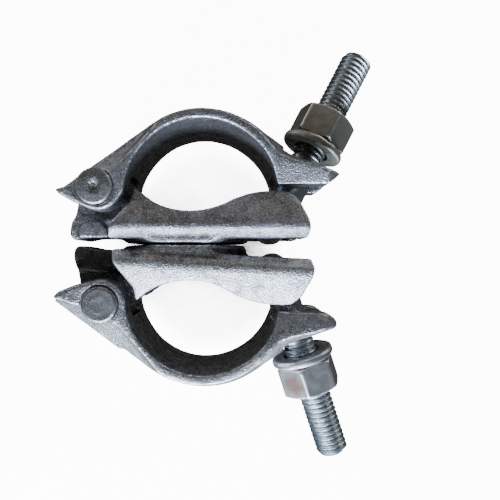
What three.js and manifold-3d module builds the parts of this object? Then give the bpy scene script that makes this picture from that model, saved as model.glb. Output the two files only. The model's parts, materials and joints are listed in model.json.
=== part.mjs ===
// Swivel scaffold coupler: two equal half couplers joined back to back by one swivel rivet.
// Each half clamps one 48.3 mm tube between its body and its hinged flap.
// The coupler lies on its side: both tube axes are vertical (+Z), the swivel axis is along Y.
//
// Half frame, in millimetres: the origin is midway between the two halves and at mid width, under
// the tube; +x points from the hinge to the bolt, +y away from the other half, z along the tube.
import * as THREE from 'three';
import { mergeVertices } from 'three/addons/utils/BufferGeometryUtils.js';
import { ConvexGeometry } from 'three/addons/geometries/ConvexGeometry.js';
import Module from 'manifold-3d';

const wasm = await Module();
wasm.setup();

// ---- driving dimensions --------------------------------------------------------------------
const TUBE_R = 24.15;                  // radius of the clamped tube
const TUBE_X = 0.9;                    // tube centre over the saddle
const TUBE_Y = 35.15;
const BASE_Y = 2.0;                    // base plane of a body, from the plane between the halves
const BODY_HALF = 20.75;               // half width of a body at its widest ridge
const RIDGE_Y = 6.2;                   // height of that ridge
const RIDGE_FLAT = 1.0;                // half height of the flat along it
const HORN_Y = 17.6;                   // top of the two horns
const SLOT_HALF = 7.7;                 // half width of the bolt slots

const SWIVEL_X = -1.5;                 // swivel axis
const SWIVEL_R = 8.0;                  // swivel rivet shank
const SWIVEL_BORE_R = 8.7;
const SWIVEL_HEAD_R = 12.6;
const SWIVEL_TOP_Y = 10.6;             // outer face of a rivet head
const SWIVEL_UNDER_Y = 6.9;            // inner face of a rivet head
const BOSS_R = 20.5;
const BOSS_ROOT_R = 25.0;
const BOSS_Y = 0.65;                   // face of the swivel boss
const ROCK_DEG = -3.0;                 // the lower half rocks on the loose swivel rivet

const KNUCKLE_X = -28.0;               // centre of the round hinge ears and tongue
const KNUCKLE_Y = 19.0;
const PIN_R = 4.0;
const PIN_HEAD_R = 5.4;
const PIN_HEAD_T = 2.2;
const PIN_PROUD = 0.6;                 // how far a pin head stands out of its ear
const PIN_GAP = 0.3;                   // clearance round the pin
const TONGUE_HALF = 7.2;               // half width of the hinge tongue
const TONGUE_GAP = 0.4;                // side clearance between tongue and ears

const FLAP_HALF = 18.0;                // half width of a flap
const ARCH_X = 4.3;                    // centre of the flap's arch
const ARCH_Y = 16.1;
const ARCH_INNER_R = 24.2;
const ARCH_EDGE_R = 27.1;              // outer radius at the flap's side faces
const ARCH_CROWN = 4.3;                // how much thicker the arch is at mid width
const ARCH_CREST_HALF = 2.0;           // half width of the flat crest
const ARCH_TANGENT_DEG = 124.5;        // where the straight back edge leaves the arch
const TINE_Y = 19.25;                  // underside of the tines

const HEAD_X = 28.3;                   // axis of the T-head in its pocket
const HEAD_Y = 7.6;
const HEAD_R = 6.0;
const HEAD_LENGTH = 24;
const POCKET_R = 7.6;
const POCKET_HALF = 14.2;
const SHANK_R = 5.5;                   // M12 thread, galvanised
const BOLT_LENGTH = 67.2;              // T-head axis to bolt tip
const HEAD_RISE = 1.2;                 // the T-head of a drooping bolt slides the other way

const WASHER_START = 28.9;             // along the bolt, from the T-head axis
const WASHER_T = 2.9;
const WASHER_R = 10.9;
const WASHER_HOLE_R = 6.25;
const NUT_START = WASHER_START + WASHER_T + 0.3;
const NUT_HEIGHT = 10.8;
const NUT_FLATS = 18.3;
const NUT_BORE_R = 5.95;

// What differs between the halves: the lean and droop of the loose bolt (droop is negative where
// the floor lies towards the half's own -z), how far the nut is turned, the drilled pin hole from
// the middle of the knuckle, how far the knuckle and the closed flap sit off their nominal place,
// the flap's back edge, beak and tine ends, and the slack along x on the swivel rivet.
const UPPER = {
  lean: 27.6, droop: -6, nutTurn: 15, pin: [-1.3, -0.4], knuckle: 0, flapTurn: 0, backOut: 27.9,
  beak: 0, tineEnd: 50.4, slackX: 0,
};
const LOWER = {
  lean: 21.4, droop: 6, nutTurn: 17, pin: [0, 0], knuckle: 1.0, flapTurn: -1.0, backOut: 29.7,
  beak: 1.3, tineEnd: 48.8, slackX: 1.4,
};

const CENTRE_SHIFT_X = -10.0;         // swivel axis from the middle of the whole object
const CENTRE_SHIFT_Y = 2.4;
const ARC_STEP_DEG = 6;                // facet size on arcs

// ---- materials -----------------------------------------------------------------------------
const steel = (colour, roughness, metalness) =>
  new THREE.MeshStandardMaterial({ color: colour, roughness, metalness });
const forgedSteel = () => steel(0x8f9290, 0.55, 0.75);
const rivetSteel = () => steel(0x83857f, 0.5, 0.8);
const zincSteel = () => steel(0xb4b9bf, 0.35, 0.9);
const darkSteel = () => steel(0x77746a, 0.5, 0.8);

// ---- solids --------------------------------------------------------------------------------
const rad = THREE.MathUtils.degToRad;

// A closed three.js geometry as a solid, with shared corners merged and slivers dropped.
function solidOf(geometry) {
  const bare = geometry.index ? geometry.toNonIndexed() : geometry;
  for (const name of Object.keys(bare.attributes)) {
    if (name !== 'position') bare.deleteAttribute(name);
  }
  const merged = mergeVertices(bare, 1e-4);
  const index = merged.index.array;
  const triangles = [];
  for (let i = 0; i < index.length; i += 3) {
    const [a, b, c] = [index[i], index[i + 1], index[i + 2]];
    if (a !== b && b !== c && c !== a) triangles.push(a, b, c);
  }
  const make = (tris) => new wasm.Manifold(new wasm.Mesh({
    numProp: 3,
    vertProperties: new Float32Array(merged.attributes.position.array),
    triVerts: new Uint32Array(tris),
  }));
  const solid = make(triangles);
  if (solid.volume() > 0) return solid;
  return make(triangles.reverse());
}

function meshOf(name, solid, material) {
  const { vertProperties, triVerts } = solid.getMesh();
  const geometry = new THREE.BufferGeometry();
  geometry.setAttribute('position', new THREE.BufferAttribute(vertProperties, 3));
  geometry.setIndex(new THREE.BufferAttribute(triVerts, 1));
  geometry.computeVertexNormals();
  const mesh = new THREE.Mesh(geometry, material);
  mesh.name = name;
  return mesh;
}

const shapeOf = (points) => new THREE.Shape(points.map(([x, y]) => new THREE.Vector2(x, y)));

// An outline in x and y, extruded evenly about the mid-width plane.
function slab(points, half, bevel = null) {
  const options = bevel
    ? {
      depth: 2 * (half - bevel.depth), bevelEnabled: true, bevelSegments: 1,
      bevelThickness: bevel.depth, bevelSize: bevel.size,
    }
    : { depth: 2 * half, bevelEnabled: false };
  const geometry = new THREE.ExtrudeGeometry(shapeOf(points), options);
  return solidOf(geometry.translate(0, 0, -options.depth / 2));
}

// An outline in z and y, extruded along x.
function railAlongX(points, x0, x1) {
  const geometry = new THREE.ExtrudeGeometry(shapeOf(points), { depth: x1 - x0, bevelEnabled: false });
  return solidOf(geometry.rotateY(Math.PI / 2).translate(x0, 0, 0));
}

// A solid of revolution about z, from [radius, z] points.
function turnedAboutZ(points, segments, x = 0, y = 0) {
  const profile = points.map(([r, h]) => new THREE.Vector2(r, h));
  const geometry = new THREE.LatheGeometry(profile, segments);
  return solidOf(geometry.rotateX(Math.PI / 2).translate(x, y, 0));
}

// A solid of revolution about y, from [radius, y] points.
function turnedAboutY(points, segments, x = 0) {
  const profile = points.map(([r, h]) => new THREE.Vector2(r, h));
  return solidOf(new THREE.LatheGeometry(profile, segments).translate(x, 0, 0));
}

const rod = (radius, half, segments, x, y) =>
  turnedAboutZ([[0, -half], [radius, -half], [radius, half], [0, half]], segments, x, y);

const drum = (radius, y0, y1, segments, x = 0) =>
  turnedAboutY([[0, y0], [radius, y0], [radius, y1], [0, y1]], segments, x);

// Points on an arc, both ends included.
function arc(x, y, radius, fromDeg, toDeg) {
  const steps = Math.max(1, Math.round(Math.abs(toDeg - fromDeg) / ARC_STEP_DEG));
  return Array.from({ length: steps + 1 }, (_, i) => {
    const a = rad(fromDeg + ((toDeg - fromDeg) * i) / steps);
    return [x + radius * Math.cos(a), y + radius * Math.sin(a)];
  });
}

// ---- body ----------------------------------------------------------------------------------
function bodyProfile() {
  return [
    [-25.3, BASE_Y], [37.8, BASE_Y], [38.8, 5.0], [38.4, 8.0], [36.8, 11.2], [35.6, 14.2],
    [33.0, 16.9], [29.8, HORN_Y], [25.0, HORN_Y], [21.6, 17.2], [18.6, 16.5], [15.8, 15.5],
    [13.0, 14.6], [-12, 17.5], [-16.6, 19.2], [-17.6, 17.4], [-18.0, 14.2], [-24.2, 6.6],
  ];
}

// Width of the body over its height: a bevelled base, the widest ridge, then drafted walls.
function bodySection() {
  return [
    [-17.9, BASE_Y], [17.9, BASE_Y], [BODY_HALF, RIDGE_Y - RIDGE_FLAT],
    [BODY_HALF, RIDGE_Y + RIDGE_FLAT], [19.4, 10.5], [14.9, 20], [13, 30], [-13, 30], [-14.9, 20],
    [-19.4, 10.5], [-BODY_HALF, RIDGE_Y + RIDGE_FLAT], [-BODY_HALF, RIDGE_Y - RIDGE_FLAT],
  ];
}

// Hinge lug: a broad foot along the base, with the tongue rising from its middle.
const LUG_FOOT_HALF = 10.5;

function lug(knuckleY) {
  const outline = [
    [-12, BASE_Y + 0.4], [-32, BASE_Y + 0.4], [-37.2, BASE_Y - 0.5], [-38.6, BASE_Y], [-39.2, 3.6],
    [-39.0, 7.0], [-37.6, 13.6], ...arc(KNUCKLE_X, knuckleY, 8.2, 172, 12), [-16.6, 16.5], [-12, 13.5],
  ];
  const section = [
    [-LUG_FOOT_HALF + 1, 0], [LUG_FOOT_HALF - 1, 0], [LUG_FOOT_HALF, 5.6], [LUG_FOOT_HALF - 1, 8.4],
    [TONGUE_HALF, 10.2], [TONGUE_HALF, 40], [-TONGUE_HALF, 40], [-TONGUE_HALF, 10.2],
    [-LUG_FOOT_HALF + 1, 8.4], [-LUG_FOOT_HALF, 5.6],
  ];
  // A half-round pad stands on one side of the foot only.
  const pad = rod(5.0, LUG_FOOT_HALF + 1.6, 20, -31.0, 3.4)
    .intersect(railAlongX([[0, BASE_Y + 0.4], [-30, BASE_Y + 0.4], [-30, 12], [0, 12]], -40, -20));
  return slab(outline, 30).intersect(railAlongX(section, -50, 0)).add(pad);
}

// pin is the centre of the pin hole. swivelX is the swivel axis.
function body(pin, knuckleY, swivelX) {
  const boss = turnedAboutY(
    [[0, BOSS_Y], [BOSS_R, BOSS_Y], [BOSS_R + 0.4, BASE_Y - 0.6], [BOSS_ROOT_R, BASE_Y + 2],
      [0, BASE_Y + 2]], 48, swivelX);
  const bossTrim = slab([[-30, -5], [30, -5], [30, 20], [-30, 20]], BODY_HALF - 1.75);
  const pocket = rod(POCKET_R, POCKET_HALF, 32, HEAD_X, HEAD_Y);
  const boltSlot = slab(
    [[45, -3], [45, 24], ...arc(HEAD_X - 2.5, 17, 7, 90, 180), [HEAD_X - POCKET_R, 7],
      [HEAD_X - POCKET_R + 1.5, -3]], SLOT_HALF);
  const headRecess = drum(SWIVEL_HEAD_R + 1.4, 6.0, 24, 40, swivelX);
  const swivelBore = drum(SWIVEL_BORE_R, -2, 12, 32, swivelX);
  const pinBore = rod(PIN_R + PIN_GAP, 30, 24, pin.x, pin.y);
  const tubeClear = rod(TUBE_R, 30, 60, TUBE_X, TUBE_Y);
  return slab(bodyProfile(), 25)
    .intersect(railAlongX(bodySection(), -60, 60))
    .add(lug(knuckleY))
    .add(boss.intersect(bossTrim))
    .subtract(pocket)
    .subtract(boltSlot)
    .subtract(headRecess)
    .subtract(swivelBore)
    .subtract(pinBore)
    .subtract(tubeClear);
}

// ---- flap ----------------------------------------------------------------------------------
// The straight back edge is tangent to the arch, and is given by its distance from the arch centre.
const BACK = { x: Math.cos(rad(ARCH_TANGENT_DEG)), y: Math.sin(rad(ARCH_TANGENT_DEG)) };

// A point that lies `along` the back edge's direction and `out` from the arch centre.
const backPoint = (along, out) => [
  ARCH_X + BACK.x * out + BACK.y * along,
  ARCH_Y + BACK.y * out - BACK.x * along,
];

function archBlank() {
  const outline = [
    backPoint(-27, ARCH_EDGE_R),
    ...arc(ARCH_X, ARCH_Y, ARCH_EDGE_R, ARCH_TANGENT_DEG, 32).slice(0, -1),
    [28.0, 29.8], [27.6, 21.5], [10, 19.5], [-14, 19.5], [-23.5, 15.5],
  ];
  return slab(outline, FLAP_HALF, { depth: FLAP_HALF - ARCH_CREST_HALF, size: ARCH_CROWN });
}

// The tines run on from the arch. Each wedge lies between two stations along it: foot is under the
// tine or inside the arch, edge is on the side face, and crest is at mid width.
function tines(tineEnd) {
  const foot = [[19, 31], [21.5, 27], [24, TINE_Y], [29, TINE_Y], [33, TINE_Y], [38, TINE_Y],
    [42, TINE_Y], [44.5, TINE_Y], [47.0, 21.0]];
  const edge = [[24.3, 34.0], [26.5, 31.0], [29.0, 28.9], [32.1, 27.6], [35.2, 26.7], [39.9, 25.7],
    [43.0, 24.6], [46.9, 23.3], [48.6, 22.4]];
  const crest = [[24.0, 40.2], [28.4, 37.2], [31.6, 34.8], [34.8, 32.4], [37.6, 30.9], [41.5, 29.5],
    [45.2, 28.0], [48.8, 26.5], [50.8, 24.5]];
  const side = FLAP_HALF - 0.4;
  const at = ([x, y], z) => [new THREE.Vector3(x, y, z), new THREE.Vector3(x, y, -z)];
  const wedges = edge.slice(1).map((_, i) => solidOf(new ConvexGeometry([
    ...at(foot[i], side), ...at(foot[i + 1], side), ...at(edge[i], side), ...at(edge[i + 1], side),
    ...at(crest[i], ARCH_CREST_HALF), ...at(crest[i + 1], ARCH_CREST_HALF),
  ])));
  const plan = new THREE.ExtrudeGeometry(shapeOf([
    [10, -FLAP_HALF], [tineEnd - 6.4, -FLAP_HALF], [tineEnd - 2.6, -15.6], [tineEnd - 0.6, -11.5],
    [tineEnd, -7], [tineEnd, 7], [tineEnd - 0.6, 11.5], [tineEnd - 2.6, 15.6],
    [tineEnd - 6.4, FLAP_HALF], [10, FLAP_HALF],
  ]), { depth: 60, bevelEnabled: false });
  return wedges.reduce((whole, wedge) => whole.add(wedge))
    .intersect(solidOf(plan.rotateX(Math.PI / 2).translate(0, 50, 0)));
}

// Outline of the hinge ears, with the beak that stops the open flap. backOut is how far the back
// edge lies from the arch centre, and beak makes the beak longer.
function ears(backOut, beak) {
  return slab([
    backPoint(-36.9 - beak, backOut), backPoint(-12, backOut), [-16.5, 30.5], [-19.2, 23.5], [-19.6, 20.4],
    ...arc(KNUCKLE_X, KNUCKLE_Y, 7.7, -5, -115), [-36.5, 14.3 - 0.6 * beak],
    [-40.6 - 0.5 * beak, 16.6 - 0.8 * beak],
  ], FLAP_HALF, { depth: 1.2, size: 0.5 });
}

// What the die left away outside each ear: a facet that falls from the flat land round the pin
// to the back edge. side is 1 or -1.
function backFacet(side) {
  const ridge = [backPoint(-37.6, 27.9), backPoint(-24, 22.9), backPoint(-18, 22.3), backPoint(3, 27)];
  const edge = [backPoint(-42, 29.4), backPoint(4, 29.4)];
  const outer = [backPoint(-42, 45), backPoint(4, 45)];
  const at = (points, z) => points.map(([x, y]) => new THREE.Vector3(x, y, side * z));
  return solidOf(new ConvexGeometry([
    ...at(ridge, FLAP_HALF), ...at(ridge, 24), ...at(edge, 10.8), ...at(edge, 24),
    ...at(outer, 10.8), ...at(outer, 24),
  ]));
}

// pin is the centre of the pin hole.
function flap(form, pin) {
  const bore = rod(ARCH_INNER_R, 30, 60, ARCH_X, ARCH_Y);
  const tongueSlot = slab([
    [-60, 0], [-14, 0], [-14, 14], ...arc(KNUCKLE_X, KNUCKLE_Y, 9.6, 20, 98), [-60, 33],
  ], TONGUE_HALF + TONGUE_GAP);
  const boltSlot = slab([
    [60, 10], [60, 40], [34.5, 40], [31.2, 31], [29.2, 26], [27.3, 22], [26.2, 19.2], [26.2, 10],
  ], SLOT_HALF);
  const pinBore = rod(PIN_R + PIN_GAP, 30, 24, pin.x, pin.y);
  const recess = (side) => {
    const floor = FLAP_HALF + PIN_PROUD - PIN_HEAD_T - PIN_GAP;
    return turnedAboutZ([[0, side * floor], [PIN_HEAD_R + 0.4, side * floor],
      [PIN_HEAD_R + 0.4, side * 24], [0, side * 24]], 28, pin.x, pin.y);
  };
  const floorTrim = slab([[-60, 0], [60, 0], [60, TINE_Y], [20, TINE_Y], [20, 12], [-60, 8]], 30);
  return archBlank()
    .add(ears(form.backOut, form.beak))
    .subtract(backFacet(1))
    .subtract(backFacet(-1))
    .add(tines(form.tineEnd))
    .subtract(bore)
    .subtract(tongueSlot)
    .subtract(boltSlot)
    .subtract(pinBore)
    .subtract(recess(1))
    .subtract(recess(-1))
    .subtract(floorTrim);
}

// ---- rivets and bolt -----------------------------------------------------------------------
function hingePin() {
  const end = FLAP_HALF + PIN_PROUD;
  const under = end - PIN_HEAD_T;
  return turnedAboutZ([
    [0, -end], [PIN_HEAD_R - 0.8, -end], [PIN_HEAD_R, -end + 0.7], [PIN_HEAD_R, -under],
    [PIN_R, -under], [PIN_R, under], [PIN_HEAD_R, under], [PIN_HEAD_R, end - 0.7],
    [PIN_HEAD_R - 0.8, end], [0, end],
  ], 28);
}

function swivelRivet() {
  return turnedAboutY([
    [0, -SWIVEL_TOP_Y], [SWIVEL_HEAD_R - 2.4, -SWIVEL_TOP_Y], [SWIVEL_HEAD_R, -SWIVEL_UNDER_Y - 1.2],
    [SWIVEL_HEAD_R, -SWIVEL_UNDER_Y], [SWIVEL_R, -SWIVEL_UNDER_Y], [SWIVEL_R, 6.3],
    [SWIVEL_HEAD_R, 6.3], [SWIVEL_HEAD_R, SWIVEL_TOP_Y - 2.4], [SWIVEL_HEAD_R - 2.0, SWIVEL_TOP_Y - 0.3],
    [4.5, SWIVEL_TOP_Y], [0, SWIVEL_TOP_Y - 1.2],
  ], 36, SWIVEL_X);
}

function tBolt() {
  const half = HEAD_LENGTH / 2;
  const head = turnedAboutZ([
    [0, -half], [HEAD_R - 1, -half], [HEAD_R, -half + 1], [HEAD_R, half - 1], [HEAD_R - 1, half],
    [0, half],
  ], 28);
  const shank = turnedAboutY([
    [0, 0], [SHANK_R, 0], [SHANK_R, BOLT_LENGTH - 1.2], [SHANK_R - 1.2, BOLT_LENGTH], [0, BOLT_LENGTH],
  ], 28);
  return head.add(shank);
}

function washer() {
  return turnedAboutY([
    [WASHER_HOLE_R, 0], [WASHER_R, 0], [WASHER_R, WASHER_T], [WASHER_HOLE_R, WASHER_T],
    [WASHER_HOLE_R, 0],
  ], 32);
}

// Hexagon with chamfered corners at both ends.
function nut() {
  const corner = NUT_FLATS / 2 / Math.cos(rad(30));
  const hexagon = turnedAboutY([[0, 0], [corner, 0], [corner, NUT_HEIGHT], [0, NUT_HEIGHT]], 6);
  const envelope = turnedAboutY([
    [0, 0], [NUT_FLATS / 2 - 0.1, 0], [corner, 0.8], [corner, NUT_HEIGHT - 0.8],
    [NUT_FLATS / 2 - 0.1, NUT_HEIGHT], [0, NUT_HEIGHT],
  ], 36);
  return hexagon.intersect(envelope).subtract(drum(NUT_BORE_R, -1, NUT_HEIGHT + 1, 28));
}

// ---- assembly ------------------------------------------------------------------------------
function halfCoupler(side, form) {
  const half = new THREE.Group();
  const knuckleY = KNUCKLE_Y + form.knuckle;
  const pin = { x: KNUCKLE_X + form.pin[0], y: knuckleY + form.pin[1] };
  half.add(meshOf(`${side}_body`, body(pin, knuckleY, SWIVEL_X - form.slackX), forgedSteel()));

  // The flap is drawn with its knuckle at the nominal place, and turns about its pin.
  const drawnPin = { x: pin.x, y: pin.y - form.knuckle };
  const gate = new THREE.Group();
  gate.position.set(pin.x, pin.y, 0);
  gate.rotation.z = rad(form.flapTurn);
  const flapMesh = meshOf(`${side}_flap`, flap(form, drawnPin), forgedSteel());
  flapMesh.position.set(-drawnPin.x, -drawnPin.y, 0);
  gate.add(flapMesh, meshOf(`${side}_hinge_pin`, hingePin(), rivetSteel()));
  half.add(gate);

  const bolt = new THREE.Group();
  bolt.position.set(HEAD_X, HEAD_Y, -Math.sign(form.droop) * HEAD_RISE);
  bolt.rotation.set(rad(form.droop), 0, -rad(form.lean), 'ZYX');
  bolt.add(meshOf(`${side}_t_bolt`, tBolt(), zincSteel()));
  const washerMesh = meshOf(`${side}_washer`, washer(), darkSteel());
  washerMesh.position.y = WASHER_START;
  bolt.add(washerMesh);
  const nutMesh = meshOf(`${side}_nut`, nut(), zincSteel());
  nutMesh.position.y = NUT_START;
  nutMesh.rotation.y = rad(form.nutTurn);
  bolt.add(nutMesh);
  half.add(bolt);
  return half;
}

const upperHalf = halfCoupler('upper', UPPER);
const lowerHalf = halfCoupler('lower', LOWER);
lowerHalf.rotation.x = Math.PI;
lowerHalf.position.x = LOWER.slackX;
const rockedHalf = new THREE.Group();
rockedHalf.rotation.z = rad(ROCK_DEG);
rockedHalf.add(lowerHalf);

const group = new THREE.Group();
group.name = 'swivel_coupler';
group.position.set(CENTRE_SHIFT_X, CENTRE_SHIFT_Y, BODY_HALF);
group.add(upperHalf, rockedHalf, meshOf('swivel_rivet', swivelRivet(), rivetSteel()));

export default group;
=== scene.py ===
"""Looks of the swivel scaffold coupler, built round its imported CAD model.

All lengths in the helpers are millimetres in the half frame of a side: the origin is midway between
the halves and at mid width, +x points from the hinge to the bolt, +y away from the other half, and
z runs along the tube. to_row() turns them into metres in the row frame.
"""

import json
import math

import bpy
import numpy as np
from mathutils import Matrix, Vector


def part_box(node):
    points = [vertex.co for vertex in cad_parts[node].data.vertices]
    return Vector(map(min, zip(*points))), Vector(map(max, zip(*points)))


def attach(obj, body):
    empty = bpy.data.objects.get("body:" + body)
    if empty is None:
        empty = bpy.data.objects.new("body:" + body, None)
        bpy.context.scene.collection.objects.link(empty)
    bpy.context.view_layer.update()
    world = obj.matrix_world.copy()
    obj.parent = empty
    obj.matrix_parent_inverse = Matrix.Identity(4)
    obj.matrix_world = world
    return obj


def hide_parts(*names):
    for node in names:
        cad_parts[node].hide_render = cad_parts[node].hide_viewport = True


MM = 0.001
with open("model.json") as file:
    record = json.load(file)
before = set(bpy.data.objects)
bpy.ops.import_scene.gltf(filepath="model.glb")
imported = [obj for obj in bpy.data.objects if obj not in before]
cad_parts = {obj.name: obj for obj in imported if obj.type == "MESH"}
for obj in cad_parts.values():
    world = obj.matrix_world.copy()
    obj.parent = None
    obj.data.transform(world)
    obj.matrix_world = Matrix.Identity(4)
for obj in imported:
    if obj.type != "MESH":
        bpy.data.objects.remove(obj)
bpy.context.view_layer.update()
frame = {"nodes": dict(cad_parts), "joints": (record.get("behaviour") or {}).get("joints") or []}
joints = {j["name"]: j for j in frame["joints"]}

# ---- where things are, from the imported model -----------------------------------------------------
SWIVEL_X = -1.5                          # swivel axis in the upper half frame
ROCK = math.radians(-3.0)                # the lower half rocks on the swivel rivet
SLACK = 1.4                              # and sits this far along x on it
ARCH_X, ARCH_Y = 4.3, 16.1               # centre of a flap's arch
FLAP_HALF = 18.0                         # half width of a flap
BOSS_REACH = 21.2                        # radius that takes in a swivel boss
BOSS_FACE = 0.35                         # how far past the middle the levelled lower boss reaches

rivet_lo, rivet_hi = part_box("swivel_rivet")
ORIGIN = (rivet_lo + rivet_hi) / 2 - Vector((SWIVEL_X * MM, 0, 0))

HALF = {
    "upper": Matrix.Translation(ORIGIN),
    "lower": Matrix.Translation(ORIGIN)
    @ Matrix.Rotation(ROCK, 4, "Z")
    @ Matrix.Translation((SLACK * MM, 0, 0))
    @ Matrix.Rotation(math.pi, 4, "X"),
}


def to_row(side, points):
    """Points of a half frame, in mm, as an array of row frame points in metres."""
    m = np.array(HALF[side])
    p = np.asarray(points, float).reshape(-1, 3) * MM
    return p @ m[:3, :3].T + m[:3, 3]


def to_half(side, points):
    """Row frame points in metres as an array of half frame points in mm."""
    m = np.array(HALF[side].inverted())
    p = np.asarray(points, float).reshape(-1, 3)
    return (p @ m[:3, :3].T + m[:3, 3]) / MM


def bolt_frame(side):
    """The bolt's own frame: its origin on the T-head axis, +y along the shank, +z along the head."""
    swing, travel = joints[f"{side}_bolt_swing"], joints[f"{side}_nut_travel"]
    y = Vector(travel["axis"]).normalized()
    z = -Vector(swing["axis"]).normalized()
    z = (z - y * z.dot(y)).normalized()
    x = y.cross(z)
    m = Matrix((x, y, z)).transposed().to_4x4()
    m.translation = Vector(swing["pos_m"])
    return m


def own_points(node, placed):
    """A CAD node's points in a placed frame, in mm."""
    m = np.array(placed.inverted())
    return (mesh_points(frame["nodes"][node].data) @ m[:3, :3].T + m[:3, 3]) / MM


def along(own):
    """Lowest and highest y of points, and their smallest and largest radius about y."""
    r = np.hypot(own[:, 0], own[:, 2])
    return own[:, 1].min(), own[:, 1].max(), r.min(), r.max()


def turned(theta, r, y):
    """Points at angle theta and radius r about the y axis."""
    return np.stack([r * np.sin(theta), y, r * np.cos(theta)], 1)


# ---- mesh tools --------------------------------------------------------------------------------
def mesh_points(mesh):
    co = np.zeros(len(mesh.vertices) * 3)
    mesh.vertices.foreach_get("co", co)
    return co.reshape(-1, 3)


def mesh_normals(mesh):
    n = np.zeros(len(mesh.vertices) * 3)
    mesh.vertex_normals.foreach_get("vector", n)
    return n.reshape(-1, 3)


def set_points(mesh, co):
    mesh.vertices.foreach_set("co", np.asarray(co, np.float32).ravel())
    mesh.update()


def value_noise(p, cell, seed):
    """Smooth noise from -1 to 1 at points p, with features about cell across."""
    size = 32
    lattice = np.random.RandomState(seed).uniform(-1, 1, (size, size, size))
    q = np.asarray(p) / cell
    i = np.floor(q).astype(int)
    f = q - i
    f = f * f * (3 - 2 * f)
    total = np.zeros(len(q))
    for corner in np.ndindex(2, 2, 2):
        weight = np.ones(len(q))
        for k in range(3):
            weight = weight * (f[:, k] if corner[k] else 1 - f[:, k])
        at = (i + np.array(corner)) % size
        total += weight * lattice[at[:, 0], at[:, 1], at[:, 2]]
    return total


def relaxed(co, edges, rounds):
    """Points after rounds of moving each halfway to the mean of its neighbours."""
    n = len(co)
    a, b = edges[:, 0], edges[:, 1]
    degree = np.maximum(np.bincount(a, minlength=n) + np.bincount(b, minlength=n), 1)
    co = co.copy()
    for _ in range(rounds):
        mean = np.empty_like(co)
        for k in range(3):
            mean[:, k] = np.bincount(a, co[b, k], n) + np.bincount(b, co[a, k], n)
        co = (co + mean / degree[:, None]) / 2
    return co


def edge_pairs(mesh):
    edges = np.zeros(len(mesh.edges) * 2, int)
    mesh.edges.foreach_get("vertices", edges)
    return edges.reshape(-1, 2)


def soften(mesh, rounds):
    set_points(mesh, relaxed(mesh_points(mesh), edge_pairs(mesh), rounds))


def mark_edges(mesh, rounds, full_mm):
    """Stores how far each point stands out of its smoothed surface, as an edge attribute and a cavity
    attribute for corners, both from 0 to 1 at full_mm. Materials pale the edges for wear and painted
    highlights, and darken the corners for grime and painted shade.
    """
    co = mesh_points(mesh)
    out = np.einsum("ij,ij->i", co - relaxed(co, edge_pairs(mesh), rounds), mesh_normals(mesh)) / MM
    for name, value in (("worn_edge_and_glint", out), ("cavity", -out)):
        layer = mesh.attributes.new(name, "FLOAT", "POINT")
        layer.data.foreach_set("value", np.clip(value / full_mm, 0, 1).astype(np.float32))


def add_piece(name, mesh, body, material, nodes=()):
    obj = bpy.data.objects.new(name, mesh)
    bpy.context.scene.collection.objects.link(obj)
    mesh.materials.clear()
    mesh.materials.append(material)
    mesh.polygons.foreach_set("use_smooth", np.ones(len(mesh.polygons), bool))
    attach(obj, body)
    if nodes:
        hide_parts(*nodes)
    return obj


def remeshed(node, voxel_mm, rounding):
    """A fine quad mesh of a CAD node, with its edges rounded."""
    temp = bpy.data.objects.new("temp", frame["nodes"][node].data.copy())
    bpy.context.scene.collection.objects.link(temp)
    voxels = temp.modifiers.new("voxels", "REMESH")
    voxels.mode, voxels.voxel_size, voxels.use_smooth_shade = "VOXEL", voxel_mm * MM, True
    bpy.context.view_layer.update()
    mesh = bpy.data.meshes.new_from_object(temp.evaluated_get(bpy.context.evaluated_depsgraph_get()))
    source = temp.data
    bpy.data.objects.remove(temp)
    bpy.data.meshes.remove(source)
    soften(mesh, rounding)
    return mesh


def ring_mesh(name, profile, segments, placed, shape=None, closed=False):
    """A turned piece about the placed frame's y axis, from [radius, y] points in mm.

    shape(theta, r, y) may move the points, and gives radius and y back. An open profile starts and
    ends on the axis; a closed one is a ring.
    """
    profile = np.array(profile, float)
    inner = profile if closed else profile[1:-1]
    theta = np.arange(segments) * 2 * math.pi / segments
    r = np.repeat(inner[:, 0], segments)
    y = np.repeat(inner[:, 1], segments)
    t = np.tile(theta, len(inner))
    if shape:
        r, y = shape(t, r, y)
    points = turned(t, r, y)
    rows, faces = len(inner), []
    last = rows if closed else rows - 1
    for i in range(last):
        a, b = i * segments, ((i + 1) % rows) * segments
        for j in range(segments):
            k = (j + 1) % segments
            faces.append((a + j, a + k, b + k, b + j))
    if not closed:
        points = np.vstack([points, [[0, profile[0, 1], 0], [0, profile[-1, 1], 0]]])
        start, end = len(points) - 2, len(points) - 1
        b = (rows - 1) * segments
        for j in range(segments):
            k = (j + 1) % segments
            faces.append((start, k, j))
            faces.append((end, b + j, b + k))
    m = np.array(placed)
    co = points * MM @ m[:3, :3].T + m[:3, 3]
    mesh = bpy.data.meshes.new(name)
    mesh.from_pydata(co.tolist(), [], faces)
    mesh.update()
    if signed_volume(mesh) < 0:
        mesh.flip_normals()
    return mesh


def signed_volume(mesh):
    mesh.calc_loop_triangles()
    tri = np.zeros(len(mesh.loop_triangles) * 3, int)
    mesh.loop_triangles.foreach_get("vertices", tri)
    a, b, c = mesh_points(mesh)[tri.reshape(-1, 3)].transpose(1, 0, 2)
    return np.einsum("ij,ij->i", a, np.cross(b, c)).sum() / 6


def fine(points, step):
    """A [radius, y] outline with points added so that none lie further apart than step."""
    out = [points[0]]
    for a, b in zip(points, points[1:]):
        n = max(1, math.ceil(math.hypot(b[0] - a[0], b[1] - a[1]) / step))
        out += [[a[0] + (b[0] - a[0]) * i / n, a[1] + (b[1] - a[1]) * i / n] for i in range(1, n + 1)]
    return out


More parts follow.
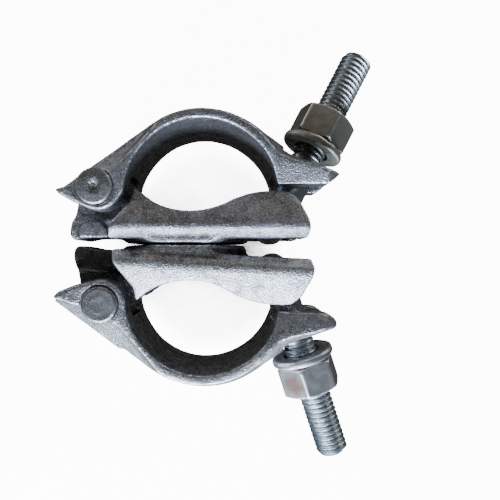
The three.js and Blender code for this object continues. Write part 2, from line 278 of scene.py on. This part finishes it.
def joined(name, first, second):
    """One mesh that holds both, for a piece made of two solids that run into each other."""
    verts, faces = [], []
    for mesh in (first, second):
        base = len(verts)
        verts += [tuple(v.co) for v in mesh.vertices]
        faces += [tuple(i + base for i in p.vertices) for p in mesh.polygons]
        bpy.data.meshes.remove(mesh)
    mesh = bpy.data.meshes.new(name)
    mesh.from_pydata(verts, [], faces)
    mesh.update()
    return mesh


# ---- materials ---------------------------------------------------------------------------------
class Nodes:
    """A short way to write a node tree."""

    def __init__(self, name):
        self.material = bpy.data.materials.new(name)
        self.material.use_nodes = True
        self.tree = self.material.node_tree
        self.shader = self.tree.nodes["Principled BSDF"]
        self.where = self.tree.nodes.new("ShaderNodeTexCoord").outputs["Object"]

    def _plug(self, node, name, value):
        socket = node.inputs[name]
        if isinstance(value, bpy.types.NodeSocket):
            self.tree.links.new(value, socket)
        else:
            socket.default_value = value

    def noise(self, size_mm, detail=2.0, roughness=0.5, stretch=None):
        """Noise from 0 to 1, with features about size_mm across."""
        node = self.tree.nodes.new("ShaderNodeTexNoise")
        source = self.where
        if stretch:
            scaled = self.tree.nodes.new("ShaderNodeMapping")
            scaled.inputs["Scale"].default_value = stretch
            self.tree.links.new(self.where, scaled.inputs["Vector"])
            source = scaled.outputs["Vector"]
        self.tree.links.new(source, node.inputs["Vector"])
        node.inputs["Scale"].default_value = 1 / (size_mm * MM)
        node.inputs["Detail"].default_value = detail
        node.inputs["Roughness"].default_value = roughness
        return node.outputs["Fac"]

    def cells(self, size_mm):
        node = self.tree.nodes.new("ShaderNodeTexVoronoi")
        self.tree.links.new(self.where, node.inputs["Vector"])
        node.inputs["Scale"].default_value = 1 / (size_mm * MM)
        return node.outputs["Distance"]

    def distance(self, x, y, z):
        """Distance in metres from a point given in mm."""
        node = self.tree.nodes.new("ShaderNodeVectorMath")
        node.operation = "DISTANCE"
        self.tree.links.new(self.where, node.inputs[0])
        node.inputs[1].default_value = (x * MM, y * MM, z * MM)
        return node.outputs["Value"]

    def attribute(self, name):
        node = self.tree.nodes.new("ShaderNodeAttribute")
        node.attribute_type, node.attribute_name = "GEOMETRY", name
        return node.outputs["Fac"]

    def ramp(self, value, low, high, to_low=0.0, to_high=1.0):
        """value from low..high as to_low..to_high, held outside."""
        node = self.tree.nodes.new("ShaderNodeMapRange")
        node.interpolation_type = "SMOOTHSTEP"
        for name, v in (("Value", value), ("From Min", low), ("From Max", high),
                        ("To Min", to_low), ("To Max", to_high)):
            self._plug(node, name, v)
        return node.outputs["Result"]

    def math(self, operation, a, b=0.0):
        node = self.tree.nodes.new("ShaderNodeMath")
        node.operation = operation
        self._plug(node, 0, a)
        self._plug(node, 1, b)
        return node.outputs[0]

    def mix(self, amount, a, b):
        node = self.tree.nodes.new("ShaderNodeMix")
        node.data_type = "RGBA"
        self._plug(node, 0, amount)
        self._plug(node, 6, a)
        self._plug(node, 7, b)
        return node.outputs[2]

    def bump(self, height, strength, distance_mm, below=None):
        node = self.tree.nodes.new("ShaderNodeBump")
        node.inputs["Strength"].default_value = strength
        node.inputs["Distance"].default_value = distance_mm * MM
        self.tree.links.new(height, node.inputs["Height"])
        if below:
            self.tree.links.new(below, node.inputs["Normal"])
        return node.outputs["Normal"]

    def done(self, colour, roughness, normal, metallic):
        self._plug(self.shader, "Base Color", colour)
        self._plug(self.shader, "Roughness", roughness)
        self._plug(self.shader, "Normal", normal)
        self._plug(self.shader, "Metallic", metallic)
        return self.material


def rgb(r, g, b):
    return (r, g, b, 1.0)


DARK_BROWN, BRIGHT_ZINC = rgb(0.10, 0.085, 0.06), rgb(0.85, 0.86, 0.92)
DARK_ROOT = rgb(0.06, 0.062, 0.06)


def forged_steel(name, pale, grey, speckle, rough, seed, sandy=1.0, worn_glint_amount=0.85, shadow_spot=None):
    """Galvanised forging: a sandy zinc skin, mottled, pale along edges from wear and painted highlights,
    and dark brown in corners from grime and painted shade.

    A shadow spot, given as (x, y, z, radius), is a row frame place in mm where a painted shadow turns the
    colour near black.
    """
    n = Nodes(name)
    shift = n.tree.nodes.new("ShaderNodeMapping")
    n.tree.links.new(n.where, shift.inputs["Vector"])
    shift.inputs["Location"].default_value = (seed * 0.013, seed * 0.007, seed * 0.011)
    if shadow_spot:
        painted_shadow = n.ramp(n.distance(*shadow_spot[:3]), shadow_spot[3] * MM, 0.6 * shadow_spot[3] * MM)
    n.where = shift.outputs["Vector"]
    cloud = n.noise(7.0, 3.0, 0.55)
    patch = n.noise(2.6, 4.0, 0.6)
    grain = n.noise(0.42, 2.0, 0.6)
    sand = n.cells(0.55)
    colour = n.mix(n.ramp(cloud, 0.35, 0.65), grey, pale)
    colour = n.mix(n.math("MULTIPLY", n.ramp(patch, 0.50, 0.66), 0.5), colour, DARK_BROWN)
    colour = n.mix(n.math("MULTIPLY", n.ramp(grain, 0.56, 0.68), speckle), colour, rgb(0.10, 0.10, 0.095))
    colour = n.mix(n.math("MULTIPLY", n.ramp(grain, 0.46, 0.34), 0.65), colour, BRIGHT_ZINC)
    # Corners dark brown and rougher: partly grime, partly painted shade.
    grime_and_shade = n.math("MULTIPLY", n.ramp(n.attribute("cavity"), 0.12, 0.75),
                   n.ramp(patch, 0.30, 0.55, 0.45, 1.0))
    colour = n.mix(n.math("MULTIPLY", grime_and_shade, 0.75), colour, DARK_BROWN)
    # Edges pale and smoother: partly wear, partly painted highlights.
    worn_and_glinting = n.math("MULTIPLY", n.ramp(n.attribute("worn_edge_and_glint"), 0.35, 0.95),
                    n.ramp(patch, 0.62, 0.40, 0.25, 1.0))
    colour = n.mix(n.math("MULTIPLY", worn_and_glinting, worn_glint_amount), colour, BRIGHT_ZINC)
    # Painted shadow: round the shadow spot the colour goes near black.
    if shadow_spot:
        colour = n.mix(n.math("MULTIPLY", painted_shadow, 0.8), colour, rgb(0.035, 0.035, 0.03))
    roughness = n.ramp(patch, 0.3, 0.7, rough - 0.06, rough + 0.08)
    roughness = n.math("SUBTRACT", roughness, n.math("MULTIPLY", worn_and_glinting, 0.14))
    roughness = n.math("ADD", roughness, n.math("MULTIPLY", grime_and_shade, 0.12))
    normal = n.bump(cloud, 0.4, 0.6)
    normal = n.bump(patch, 0.6, 0.2, normal)
    normal = n.bump(sand, 0.7 * sandy, 0.16, normal)
    normal = n.bump(grain, sandy, 0.16, normal)
    return n.done(colour, roughness, normal, 0.9)


def plated_steel(name, bright, dull, rough, stretch, stains_and_shadows=()):
    """Zinc-plated turned or pressed steel: fine lines, dull patches, near black in the corners from
    grime and painted shade, pale on edges from wear and painted glints.

    stretch scales the lines along x, y and z. Each stain and each painted shadow is (x, y, z, radius,
    colour, size): a row frame place in mm, and the size of its specks.
    """
    n = Nodes(name)
    cloud = n.noise(3.0, 3.0, 0.6)
    lines = n.noise(0.35, 2.0, 0.6, stretch)
    grain = n.noise(0.3, 2.0, 0.6)
    colour = n.mix(n.ramp(cloud, 0.35, 0.68), bright, dull)
    colour = n.mix(n.math("MULTIPLY", n.ramp(lines, 0.5, 0.7), 0.35), colour, dull)
    # Corners near black and rougher: partly grime, partly painted shade.
    grime_and_shade = n.ramp(n.attribute("cavity"), 0.08, 0.6)
    colour = n.mix(n.math("MULTIPLY", grime_and_shade, 0.85), colour, DARK_ROOT)
    # Edges pale: partly wear, partly painted glints.
    worn_and_glinting = n.ramp(n.attribute("worn_edge_and_glint"), 0.25, 0.9)
    colour = n.mix(n.math("MULTIPLY", worn_and_glinting, 0.7), colour, rgb(0.86, 0.88, 0.92))
    for x, y, z, radius, tint, size in stains_and_shadows:
        reach = n.ramp(n.distance(x, y, z), radius * MM, 0.45 * radius * MM)
        if size < 1:
            patchy = n.ramp(n.noise(size, 2.0), 0.50, 0.60)
        else:
            patchy = n.ramp(n.noise(size, 3.0), 0.25, 0.5)
        colour = n.mix(n.math("MULTIPLY", reach, n.math("MULTIPLY", patchy, 0.85)), colour, tint)
    roughness = n.ramp(cloud, 0.3, 0.7, rough - 0.05, rough + 0.1)
    roughness = n.math("ADD", roughness, n.math("MULTIPLY", grime_and_shade, 0.15))
    normal = n.bump(lines, 0.4, 0.03)
    normal = n.bump(grain, 0.25, 0.03, normal)
    normal = n.bump(cloud, 0.25, 0.15, normal)
    return n.done(colour, roughness, normal, 0.92)


PALE = rgb(0.43, 0.435, 0.485)
FORGED_BODY = {
    "upper": forged_steel("forged_upper_body", PALE, rgb(0.27, 0.265, 0.27), 0.65, 0.42, 1, worn_glint_amount=0.15),
    # The lower body's spot by its lug is a painted shadow.
    "lower": forged_steel("forged_lower_body", rgb(0.56, 0.57, 0.60), rgb(0.42, 0.43, 0.45),
                          0.75, 0.42, 2, shadow_spot=(-42.0, -1.0, 28.0, 16.0)),
}
FORGED_FLAP = {
    "upper": forged_steel("forged_upper_flap", PALE, rgb(0.33, 0.34, 0.36), 0.6, 0.40, 3),
    "lower": forged_steel("forged_lower_flap", rgb(0.52, 0.53, 0.55), rgb(0.38, 0.39, 0.40),
                          0.7, 0.42, 4),
}
RIVET = forged_steel("rivet_steel", rgb(0.46, 0.46, 0.46), rgb(0.33, 0.33, 0.32), 0.25, 0.42, 5)
PIN_STEEL = {
    "upper": forged_steel("peened_pin", rgb(0.42, 0.42, 0.43), rgb(0.30, 0.30, 0.30),
                          0.3, 0.42, 6, sandy=0.5),
    "lower": forged_steel("formed_pin", rgb(0.40, 0.41, 0.42), rgb(0.31, 0.32, 0.33),
                          0.2, 0.42, 7, sandy=0.3),
}
EVEN, ACROSS = (1, 1, 1), (1, 1, 0.15)             # stretch of the fine lines
BOLT_ZINC = (rgb(0.64, 0.70, 0.74), rgb(0.45, 0.50, 0.53), 0.3, EVEN)
BOLT_STEEL = {
    # The upper bolt's dark green patch by its washer is a painted shadow.
    "upper": plated_steel("bolt_zinc_washer_shadow", *BOLT_ZINC,
                          [(32.0, 33.0, 22.0, 15.0, rgb(0.12, 0.13, 0.12), 6.0)]),
    "lower": plated_steel("bolt_zinc", *BOLT_ZINC),
}
NUT_STEEL = {
    "upper": plated_steel("nut_dull_zinc", rgb(0.60, 0.60, 0.55), rgb(0.42, 0.42, 0.37), 0.38, ACROSS),
    "lower": plated_steel("nut_bright_zinc", rgb(0.78, 0.81, 0.84), rgb(0.56, 0.57, 0.57), 0.36, ACROSS,
                          [(24.1, -45.6, 26.0, 6.0, rgb(0.42, 0.24, 0.19), 3.0)]),
}
WASHER_STEEL = {
    "upper": plated_steel("washer_olive", rgb(0.62, 0.62, 0.54), rgb(0.40, 0.40, 0.33), 0.42, EVEN),
    "lower": plated_steel("washer_specked", rgb(0.58, 0.60, 0.61), rgb(0.36, 0.37, 0.36), 0.42, EVEN,
                          [(26.5, -38.5, 26.0, 5.0, rgb(0.30, 0.07, 0.05), 0.7)]),
}


# ---- forged pieces -----------------------------------------------------------------------------
VOXEL_MM, ROUNDING = 0.42, 5


def dented(side, mesh, marks, seed, waviness, sand, drafted=False):
    """Moves a forging's points: slow waves, hammer-scale unevenness, dents, and a flap's draft.

    marks are (x, y, z, radius, depth) in the half frame in mm, pushed in along the normal.
    """
    co, normals = mesh_points(mesh), mesh_normals(mesh)
    half = to_half(side, co)
    push = -waviness * (0.5 + 0.5 * value_noise(half, 6.5, seed))
    push -= sand * (0.5 + 0.5 * value_noise(half, 1.9, seed + 1))
    push -= sand * 0.5 * (0.5 + 0.5 * value_noise(half, 0.9, seed + 2))
    for x, y, z, radius, depth in marks:
        d = np.linalg.norm(half - np.array([x, y, z]), axis=1) / radius
        push -= depth * np.clip(1 - d * d, 0, 1) ** 2
    co = co + normals * (push * MM)[:, None]
    if drafted:
        half = to_half(side, co)
        x, y, z = half.T
        # The tines' sides fall away from their upper edge down to the foot.
        edge_y = 31.0 - 0.377 * (x - 26.5)
        below_edge = np.clip(edge_y - y, 0, 11)
        on_tine = np.clip((x - 23) / 4, 0, 1) * np.clip((np.abs(z) - 11) / 7, 0, 1)
        z = z - np.sign(z) * 0.24 * below_edge * on_tine
        # The bore bulges a little between the side faces.
        from_axis = np.hypot(x - ARCH_X, y - ARCH_Y)
        wall = np.clip((26.8 - from_axis) / 2.4, 0, 1) * np.clip((y - 22) / 9, 0, 1)
        wall *= np.clip((27 - x) / 9, 0, 1)
        inward = 0.9 * (1 - 0.6 * np.clip(np.abs(z) / FLAP_HALF, 0, 1) ** 3) * wall
        x, y = x - inward * (x - ARCH_X) / from_axis, y - inward * (y - ARCH_Y) / from_axis
        co = to_row(side, np.stack([x, y, z], 1))
    set_points(mesh, co)


def level_boss(mesh):
    """Builds the tilted lower boss up to an even running gap under the upper one."""
    co = mesh_points(mesh)
    x, y, z = to_half("lower", co).T
    face = (y < 1.0) & (np.hypot(x - SWIVEL_X + SLACK, z) < BOSS_REACH)
    co[face, 1] = np.maximum(co[face, 1], ORIGIN.y + BOSS_FACE * MM)
    set_points(mesh, co)


def forging(node, name, side, body, material, marks, seed, worn_round):
    """A forged piece. Its edges are marked while they are sharp, and then rounded worn_round more times."""
    mesh = remeshed(node, VOXEL_MM, ROUNDING)
    if node == "lower_body":
        level_boss(mesh)
    dented(side, mesh, marks, seed, 0.20, 0.10, drafted=node.endswith("flap"))
    mark_edges(mesh, 10, 0.16)
    soften(mesh, worn_round)
    return add_piece(name, mesh, body, material, [node])


for side, seed in (("upper", 20), ("lower", 40)):
    body_marks = [] if side == "upper" else [(-18.0, 2.6, -19.0, 3.2, 0.9)]
    flap_marks = (
        [(-15.5, 24.0, 18.2, 1.3, 0.7), (47.0, 21.5, 12.0, 2.0, 0.5)] if side == "upper" else
        [(47.5, 20.2, -9.0, 2.2, 0.8), (44.5, 19.3, -13.0, 1.6, 0.6), (49.5, 23.0, -2.0, 1.8, 0.6)]
    )
    forging(f"{side}_body", f"{side}_forged_body", side, f"{side}_saddle",
            FORGED_BODY[side], body_marks, seed, 8)
    forging(f"{side}_flap", f"{side}_forged_flap", side, f"{side}_gate",
            FORGED_FLAP[side], flap_marks, seed + 7, 9)

rivet_mesh = remeshed("swivel_rivet", VOXEL_MM, ROUNDING)
dented("upper", rivet_mesh, [], 60, 0.12, 0.05)
mark_edges(rivet_mesh, 8, 0.2)
add_piece("swivel_rivet_forged", rivet_mesh, "upper_saddle", RIVET, ["swivel_rivet"])


# ---- hinge pins --------------------------------------------------------------------------------
def hinge_pin(side):
    """A pin with a smooth formed head on one face and a ragged peened head on the other."""
    lo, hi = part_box(f"{side}_hinge_pin")
    centre = (lo + hi) / 2
    head_r, end = (hi.x - lo.x) / 2 / MM + 0.4, (hi.z - lo.z) / 2 / MM      # upset to fill its recess
    shank_r, under = 4.0, end - 2.2
    placed = Matrix.Translation(centre) @ Matrix.Rotation(math.pi / 2, 4, "X")
    formed = [[0, 0.10], [1.2, 0.08], [2.6, 0.0], [3.6, 0.06], [head_r - 0.75, 0.02],
              [head_r - 0.3, 0.28], [head_r, 0.8]]
    peened = [[0, 0.75], [0.6, 0.55], [1.1, 0.5], [1.7, 0.12], [2.6, 0.0], [3.8, 0.12],
              [head_r - 0.5, 0.3], [head_r, 0.9]]
    near, far = (peened, formed) if side == "upper" else (formed, peened)
    profile = [[r, end - d] for r, d in near] + [[head_r, under], [shank_r, under - 0.1]]
    profile += [[shank_r, -under + 0.1], [head_r, -under]] + [[r, -end + d] for r, d in reversed(far)]

    def shape(theta, r, y):
        top = y > under
        bottom = y < -under
        peen = top if side == "upper" else bottom
        points = np.stack([r * np.sin(theta), r * np.cos(theta), y], 1)
        pits = value_noise(points, 0.55, 71) + 0.6 * value_noise(points, 1.1, 72)
        spokes = np.sin(theta * 11 + 2.5 * value_noise(points, 1.5, 73))
        middle = np.clip(1 - np.abs(r - 1.4) / 1.6, 0, 1)
        sink = 0.16 * np.clip(pits, 0, 2) * np.clip(1.4 - r / 3.4, 0, 1)
        sink += 0.10 * middle * (0.5 + 0.5 * spokes)
        smooth = 0.05 * (0.5 + 0.5 * value_noise(points, 1.8, 74))
        sink = np.where(peen, sink + smooth, smooth)
        flat = (r < head_r - 0.05) & (top | bottom)
        y = np.where(flat, y - np.sign(y) * sink, y)
        r = r * (1 - 0.006 * (1 + value_noise(points, 2.5, 75)))
        return r, y

    mesh = ring_mesh(f"{side}_pin", fine(profile, 0.25), 72, placed, shape)
    mark_edges(mesh, 5, 0.10)
    add_piece(f"{side}_pin_riveted", mesh, f"{side}_gate", PIN_STEEL[side], [f"{side}_hinge_pin"])


for side in ("upper", "lower"):
    hinge_pin(side)

# ---- bolts, washers and nuts -------------------------------------------------------------------
PITCH = 1.75
THREAD_DEPTH = 1.0


def thread_depth(theta, y):
    """From 0 at a crest to 1 at a root, of a right-hand thread."""
    phase = (y / PITCH + theta / (2 * math.pi)) % 1.0
    flank = np.abs(phase - 0.5) * 2                    # 0 at the root, 1 at the crest
    return 1 - np.clip((flank - 0.16) / 0.68, 0, 1)


def t_bolt(side):
    placed = bolt_frame(side)
    node = f"{side}_t_bolt"
    own = own_points(node, placed)
    _, tip, _, shank_r = along(own[own[:, 1] > 20])    # well clear of the head
    head_r = -own[:, 1].min()
    head_half = own[:, 2].max()
    plain_end = 24.0                                   # where the thread starts

    def thread(theta, r, y):
        run_in = np.clip((y - plain_end) / (1.5 * PITCH), 0, 1)
        run_out = np.clip((tip - y) / 0.8, 0, 1)
        outer = r > shank_r - 1.6
        cut = THREAD_DEPTH * thread_depth(theta, y) * run_in * (0.35 + 0.65 * run_out)
        nick = 0.08 * np.clip(value_noise(turned(theta, r, y), 1.3, 81), 0, 1)
        return np.where(outer, r - cut - nick, r), y

    step = PITCH / 12
    rows = [[shank_r, y] for y in np.arange(plain_end, tip - 1.1, step)]
    shank = [[0, 3.0], [shank_r - 0.05, 3.0]] + fine([[shank_r, 3.2], [shank_r, plain_end - step]], 1.0)
    shank += rows + fine([[shank_r - 0.1, tip - 1.0], [shank_r - 1.1, tip - 0.1]], 0.15)
    shank += [[shank_r - 1.8, tip], [0, tip - 0.05]]
    first = ring_mesh("shank", shank, 56, placed, thread)
    across = placed @ Matrix.Rotation(math.pi / 2, 4, "X")
    corner = [[head_r, head_half - 1.1], [head_r - 0.35, head_half - 0.3], [head_r - 1.2, head_half],
              [0, head_half]]
    head = [[r, -y] for r, y in reversed(corner)] + corner

    def hammered(theta, r, y):
        points = turned(theta, r, y)
        return (r * (1 - 0.01 * (1 + value_noise(points, 3.0, 83))),
                y * (1 - 0.004 * (1 + value_noise(points, 2.0, 84))))

    second = ring_mesh("head", fine(head, 0.8), 56, across, hammered)
    mesh = joined(node, first, second)
    mark_edges(mesh, 3, 0.22)
    add_piece(f"{side}_bolt_threaded", mesh, f"{side}_bolt", BOLT_STEEL[side], [node])


def washer(side):
    placed = bolt_frame(side)
    node = f"{side}_washer"
    low, high, hole_r, rim_r = along(own_points(node, placed))
    outline = [[hole_r, low + 0.35], [hole_r + 0.3, low + 0.05], [rim_r - 1.0, low],
               [rim_r - 0.3, low + 0.35], [rim_r, low + 0.95], [rim_r, high - 0.95],
               [rim_r - 0.3, high - 0.35], [rim_r - 1.0, high], [hole_r + 0.3, high - 0.05],
               [hole_r, high - 0.35], [hole_r, low + 0.35]]

    def stamped(theta, r, y):
        uneven = value_noise(turned(theta, r, y), 3.2, 91 if side == "upper" else 92)
        outer = r > (hole_r + rim_r) / 2
        r = np.where(outer, r - 0.12 * (1 + uneven), r)
        middle = (low + high) / 2
        return r, middle + (y - middle) * (1 - 0.05 * (1 + uneven))

    mesh = ring_mesh(node + "_ring", fine(outline, 0.4)[:-1], 96, placed, stamped, closed=True)
    mark_edges(mesh, 5, 0.16)
    add_piece(f"{side}_washer_stamped", mesh, f"{side}_washer_ring", WASHER_STEEL[side], [node])


def nut(side):
    """A hexagon nut, chamfered at both ends, with a threaded bore."""
    placed = bolt_frame(side)
    node = f"{side}_nut"
    own = own_points(node, placed)
    low, high, _, corner = along(own)
    flats = corner * math.cos(math.radians(30))
    bore_r, mouth_r = 5.95, 6.7
    land_r = flats - 0.35                              # rim of the flat end faces
    chamfer = math.tan(math.radians(27))
    far = own[np.argmax(np.hypot(own[:, 0], own[:, 2]))]
    turn = math.atan2(far[0], far[2])                  # angle of one corner

    def hexagon(theta):
        a = (theta - turn) % (math.pi / 3) - math.pi / 6
        return np.minimum(flats / np.cos(a), corner - 0.12)

    height = high - low
    outline = [[bore_r, low + 0.75], [mouth_r, low]]
    bevel_r, wall_r = 100.0, 110.0                     # stand for radii that the hexagon gives
    outline += [[mouth_r + (land_r - mouth_r) * i / 6, low] for i in range(1, 7)]
    outline += [[bevel_r + i, low] for i in range(4)]
    outline += [[wall_r, low + height * i / 16] for i in range(1, 16)]
    outline += [[bevel_r + 3 - i, high] for i in range(4)]
    outline += [[land_r - (land_r - mouth_r) * i / 6, high] for i in range(7)]
    outline += [[bore_r, high - 0.75]]
    bore_rows = int((height - 1.5) / (PITCH / 8))
    outline += [[bore_r, high - 0.75 - (height - 1.5) * i / bore_rows] for i in range(1, bore_rows)]

    def shape(theta, r, y):
        hexed = hexagon(theta)
        walls = r >= wall_r - 1
        bevels = (r >= bevel_r) & ~walls
        radial = land_r + (hexed - land_r) * (r - bevel_r + 1) / 4
        drop = np.where(bevels, (radial - land_r) * chamfer, 0)
        new_r = np.where(bevels, radial, r)
        side_drop = (hexed - land_r) * chamfer
        t = (y - low) / height
        wall_y = low + side_drop + (height - 2 * side_drop) * t
        new_r = np.where(walls, hexed - 0.05 * (2 * t - 1) ** 4, new_r)
        new_y = np.where(walls, wall_y, np.where(y > (low + high) / 2, y - drop, y + drop))
        threaded = (r < bore_r + 0.01) & (y > low + 0.8) & (y < high - 0.8)
        new_r = np.where(threaded, new_r + 0.5 * thread_depth(theta, y), new_r)
        worn = 0.05 * (1 + value_noise(turned(theta, new_r, new_y), 2.2, 95 if side == "upper" else 96))
        new_r = np.where(new_r > mouth_r + 0.1, new_r - worn, new_r)
        return new_r, new_y

    mesh = ring_mesh(node + "_hexagon", outline, 144, placed, shape, closed=True)
    mark_edges(mesh, 4, 0.14)
    add_piece(f"{side}_nut_hexagon", mesh, f"{side}_nut_hex", NUT_STEEL[side], [node])


for side in ("upper", "lower"):
    t_bolt(side)
    washer(side)
    nut(side)

# ---- floor, light and camera -------------------------------------------------------------------
FLOOR_Z = -0.0003                        # just under the clamp, in metres
FLOOR_REACH = 2.0
WALL_R, WALL_TOP, WALL_SIDES = 1.9, 2.5, 48


def staging(name, material_name, points, faces):
    """A pale surface that the camera sees and that no metal reflects.

    Gives the surface, its node tree and its shader.
    """
    mesh = bpy.data.meshes.new(name)
    mesh.from_pydata(points, [], faces)
    obj = bpy.data.objects.new(name, mesh)
    bpy.context.scene.collection.objects.link(obj)
    obj.visible_glossy = False
    obj.visible_diffuse = False
    pale = bpy.data.materials.new(material_name)
    pale.use_nodes = True
    shader = pale.node_tree.nodes["Principled BSDF"]
    shader.inputs["Base Color"].default_value = rgb(0.9, 0.9, 0.9)
    shader.inputs["Emission Color"].default_value = rgb(1, 1, 1)
    mesh.materials.append(pale)
    return obj, pale.node_tree, shader


corners = [(x * FLOOR_REACH, y * FLOOR_REACH, FLOOR_Z) for x, y in ((-1, -1), (1, -1), (1, 1), (-1, 1))]
floor, floor_tree, floor_shader = staging("floor", "white_paper", corners, [(0, 1, 2, 3)])
floor_shader.inputs["Roughness"].default_value = 0.9
# The floor glows bright in the open, with a painted shadow where the clamp closes in over it.
closed_in = floor_tree.nodes.new("ShaderNodeAmbientOcclusion")
closed_in.samples = 16
closed_in.inputs["Distance"].default_value = 0.06
glow_and_painted_shadow = floor_tree.nodes.new("ShaderNodeMapRange")
glow_and_painted_shadow.interpolation_type = "SMOOTHSTEP"
for socket, value in (("From Min", 0.11), ("From Max", 0.21), ("To Min", 0.02), ("To Max", 12.0)):
    glow_and_painted_shadow.inputs[socket].default_value = value
floor_tree.links.new(closed_in.outputs["AO"], glow_and_painted_shadow.inputs["Value"])
floor_tree.links.new(glow_and_painted_shadow.outputs["Result"], floor_shader.inputs["Emission Strength"])

# A pale wall all round, seen only from low down, which neither lights nor shades the clamp.
turns = [2 * math.pi * i / WALL_SIDES for i in range(WALL_SIDES)]
wall_points = [(WALL_R * math.cos(a), WALL_R * math.sin(a), z) for z in (FLOOR_Z, WALL_TOP) for a in turns]
wall_faces = [(i, (i + 1) % WALL_SIDES, WALL_SIDES + (i + 1) % WALL_SIDES, WALL_SIDES + i)
              for i in range(WALL_SIDES)]
backdrop, _, backdrop_shader = staging("backdrop", "pale_wall", wall_points, wall_faces)
backdrop_shader.inputs["Emission Strength"].default_value = 6.0
backdrop.visible_shadow = False


def area_light(name, place, size_x, size_y, watts, colour):
    """A rectangular light at place, turned to the origin."""
    data = bpy.data.lights.new(name, "AREA")
    data.shape, data.size, data.size_y, data.energy, data.color = "RECTANGLE", size_x, size_y, watts, colour
    obj = bpy.data.objects.new(name, data)
    bpy.context.scene.collection.objects.link(obj)
    obj.location = place
    obj.rotation_euler = (-Vector(place)).to_track_quat("-Z", "Y").to_euler()


area_light("window", (-0.08, -0.66, 0.36), 0.6, 0.24, 14.0, (0.74, 0.84, 1.0))
area_light("low_window", (-0.05, -0.75, 0.09), 0.9, 0.16, 12.0, (0.76, 0.86, 1.0))
area_light("overhead", (-0.10, -0.20, 0.75), 0.35, 0.35, 0.1, (0.88, 0.94, 1.0))
area_light("back_fill", (-0.1, 0.7, 0.35), 0.5, 0.3, 0.35, (1.0, 0.88, 0.74))
# Two weak ones behind, for the back faces seen from low down.
area_light("low_back_left", (-0.60, 0.50, 0.07), 0.6, 0.12, 1.0, (0.95, 0.97, 1.0))
area_light("low_back_right", (0.55, 0.55, 0.07), 0.6, 0.12, 1.6, (0.95, 0.97, 1.0))

world = bpy.data.worlds.new("studio")
bpy.context.scene.world = world
world.use_nodes = True
world.node_tree.nodes["Background"].inputs["Color"].default_value = rgb(0.85, 0.80, 0.72)
world.node_tree.nodes["Background"].inputs["Strength"].default_value = 0.05

camera_data = bpy.data.cameras.new("camera")
camera_data.sensor_width = 36.0
camera_data.lens = 37.44
camera_data.shift_x, camera_data.shift_y = 0.05, 0.014
camera_data.clip_start = 0.01
camera_data.dof.use_dof = False
camera = bpy.data.objects.new("camera", camera_data)
bpy.context.scene.collection.objects.link(camera)
camera.location = ORIGIN + Vector((0.0118, -0.00365, 0.1802))
camera.rotation_euler = (0, 0, 0)
bpy.context.scene.camera = camera
